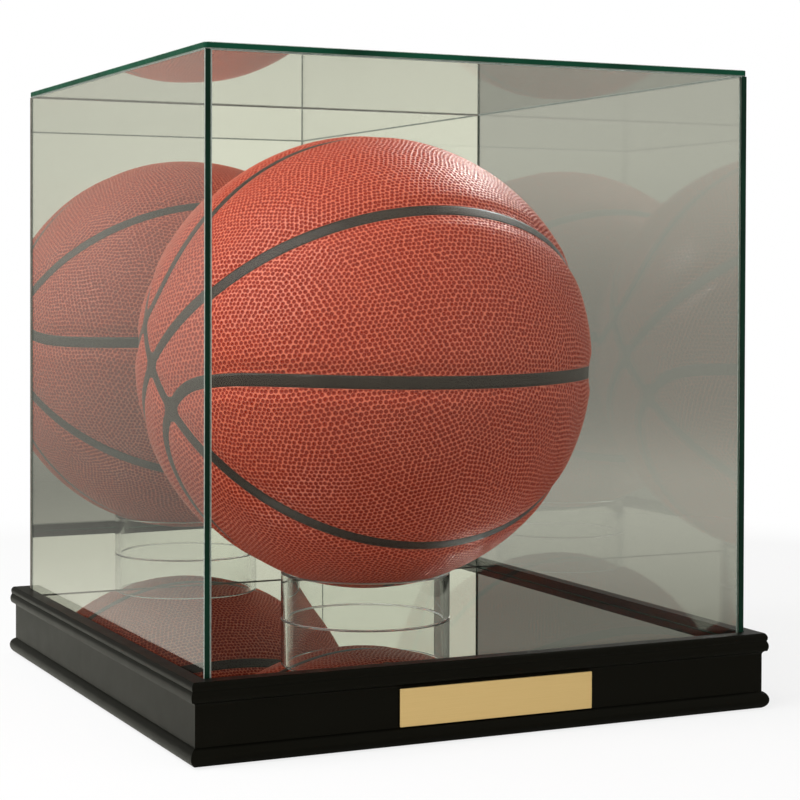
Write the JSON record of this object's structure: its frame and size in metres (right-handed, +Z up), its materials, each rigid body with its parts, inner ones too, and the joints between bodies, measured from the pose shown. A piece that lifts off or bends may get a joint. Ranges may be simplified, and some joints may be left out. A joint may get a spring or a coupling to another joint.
{
  "type": "basketball display case",
  "caption": "Square glass display case with a mirror back and mirror floor on a black moulded base, holding a pebbled basketball on a clear ring, with a bare brass nameplate.",
  "frame": {"origin": "middle of the base's underside, at the table", "axes": "+Z up; -Y towards the front with the nameplate; +X to the right as seen from the front"},
  "size_m": [0.3048, 0.3048, 0.3183],
  "materials": {
    "lacquer": "black satin lacquer on wood",
    "block_wood": "raw sawn pine",
    "board": "raw fibre board",
    "steel": "plain bright steel",
    "mirror": "silvered float glass",
    "glass": "clear float glass, ground edges",
    "bond": "clear cured glue",
    "acrylic": "clear polished acrylic",
    "tape": "white foam tape",
    "felt": "black felt",
    "brass": "satin brass",
    "ball_leather": "pebbled ball leather",
    "ball_rubber": "black moulded rubber",
    "bladder_rubber": "smooth butyl rubber"
  },
  "bodies": {
    "base": {"moulding_front": "lacquer", "moulding_right": "lacquer", "moulding_back": "lacquer", "moulding_left": "lacquer", "v_nails": "steel", "corner_block_front_left": "block_wood", "corner_block_front_right": "block_wood", "corner_block_back_right": "block_wood", "corner_block_back_left": "block_wood", "deck_screws": "steel", "deck_board": "board", "mirror_floor": "mirror", "mirror_tape": "tape", "bottom_board": "board", "bottom_brads": "steel", "felt_base": "felt", "nameplate": "brass", "nameplate_tape": "tape"},
    "cover": {"front_pane": "glass", "left_pane": "glass", "right_pane": "glass", "back_mirror": "mirror", "top_pane": "glass", "bond_seams": "bond"},
    "ring": {"ball_ring": "acrylic"},
    "ball": {"ball_panel_1": "ball_leather", "ball_panel_2": "ball_leather", "ball_panel_3": "ball_leather", "ball_panel_4": "ball_leather", "ball_panel_5": "ball_leather", "ball_panel_6": "ball_leather", "ball_panel_7": "ball_leather", "ball_panel_8": "ball_leather", "ball_carcass": "ball_rubber", "ball_bladder": "bladder_rubber", "ball_valve": "ball_rubber"}
  },
  "joints": [
    {"name": "cover_lift", "type": "slide", "parent": "base", "child": "cover", "axis": [0, 0, 1], "range_m": [0, 0.3]},
    {"name": "ring_lift", "type": "slide", "parent": "base", "child": "ring", "axis": [0, 0, 1], "range_m": [0, 0.02]},
    {"name": "ball_turn", "type": "hinge", "parent": "ring", "child": "ball", "pos_m": [0, 0, 0.16995], "axis": [0, 0, 1], "continuous": true}
  ]
}
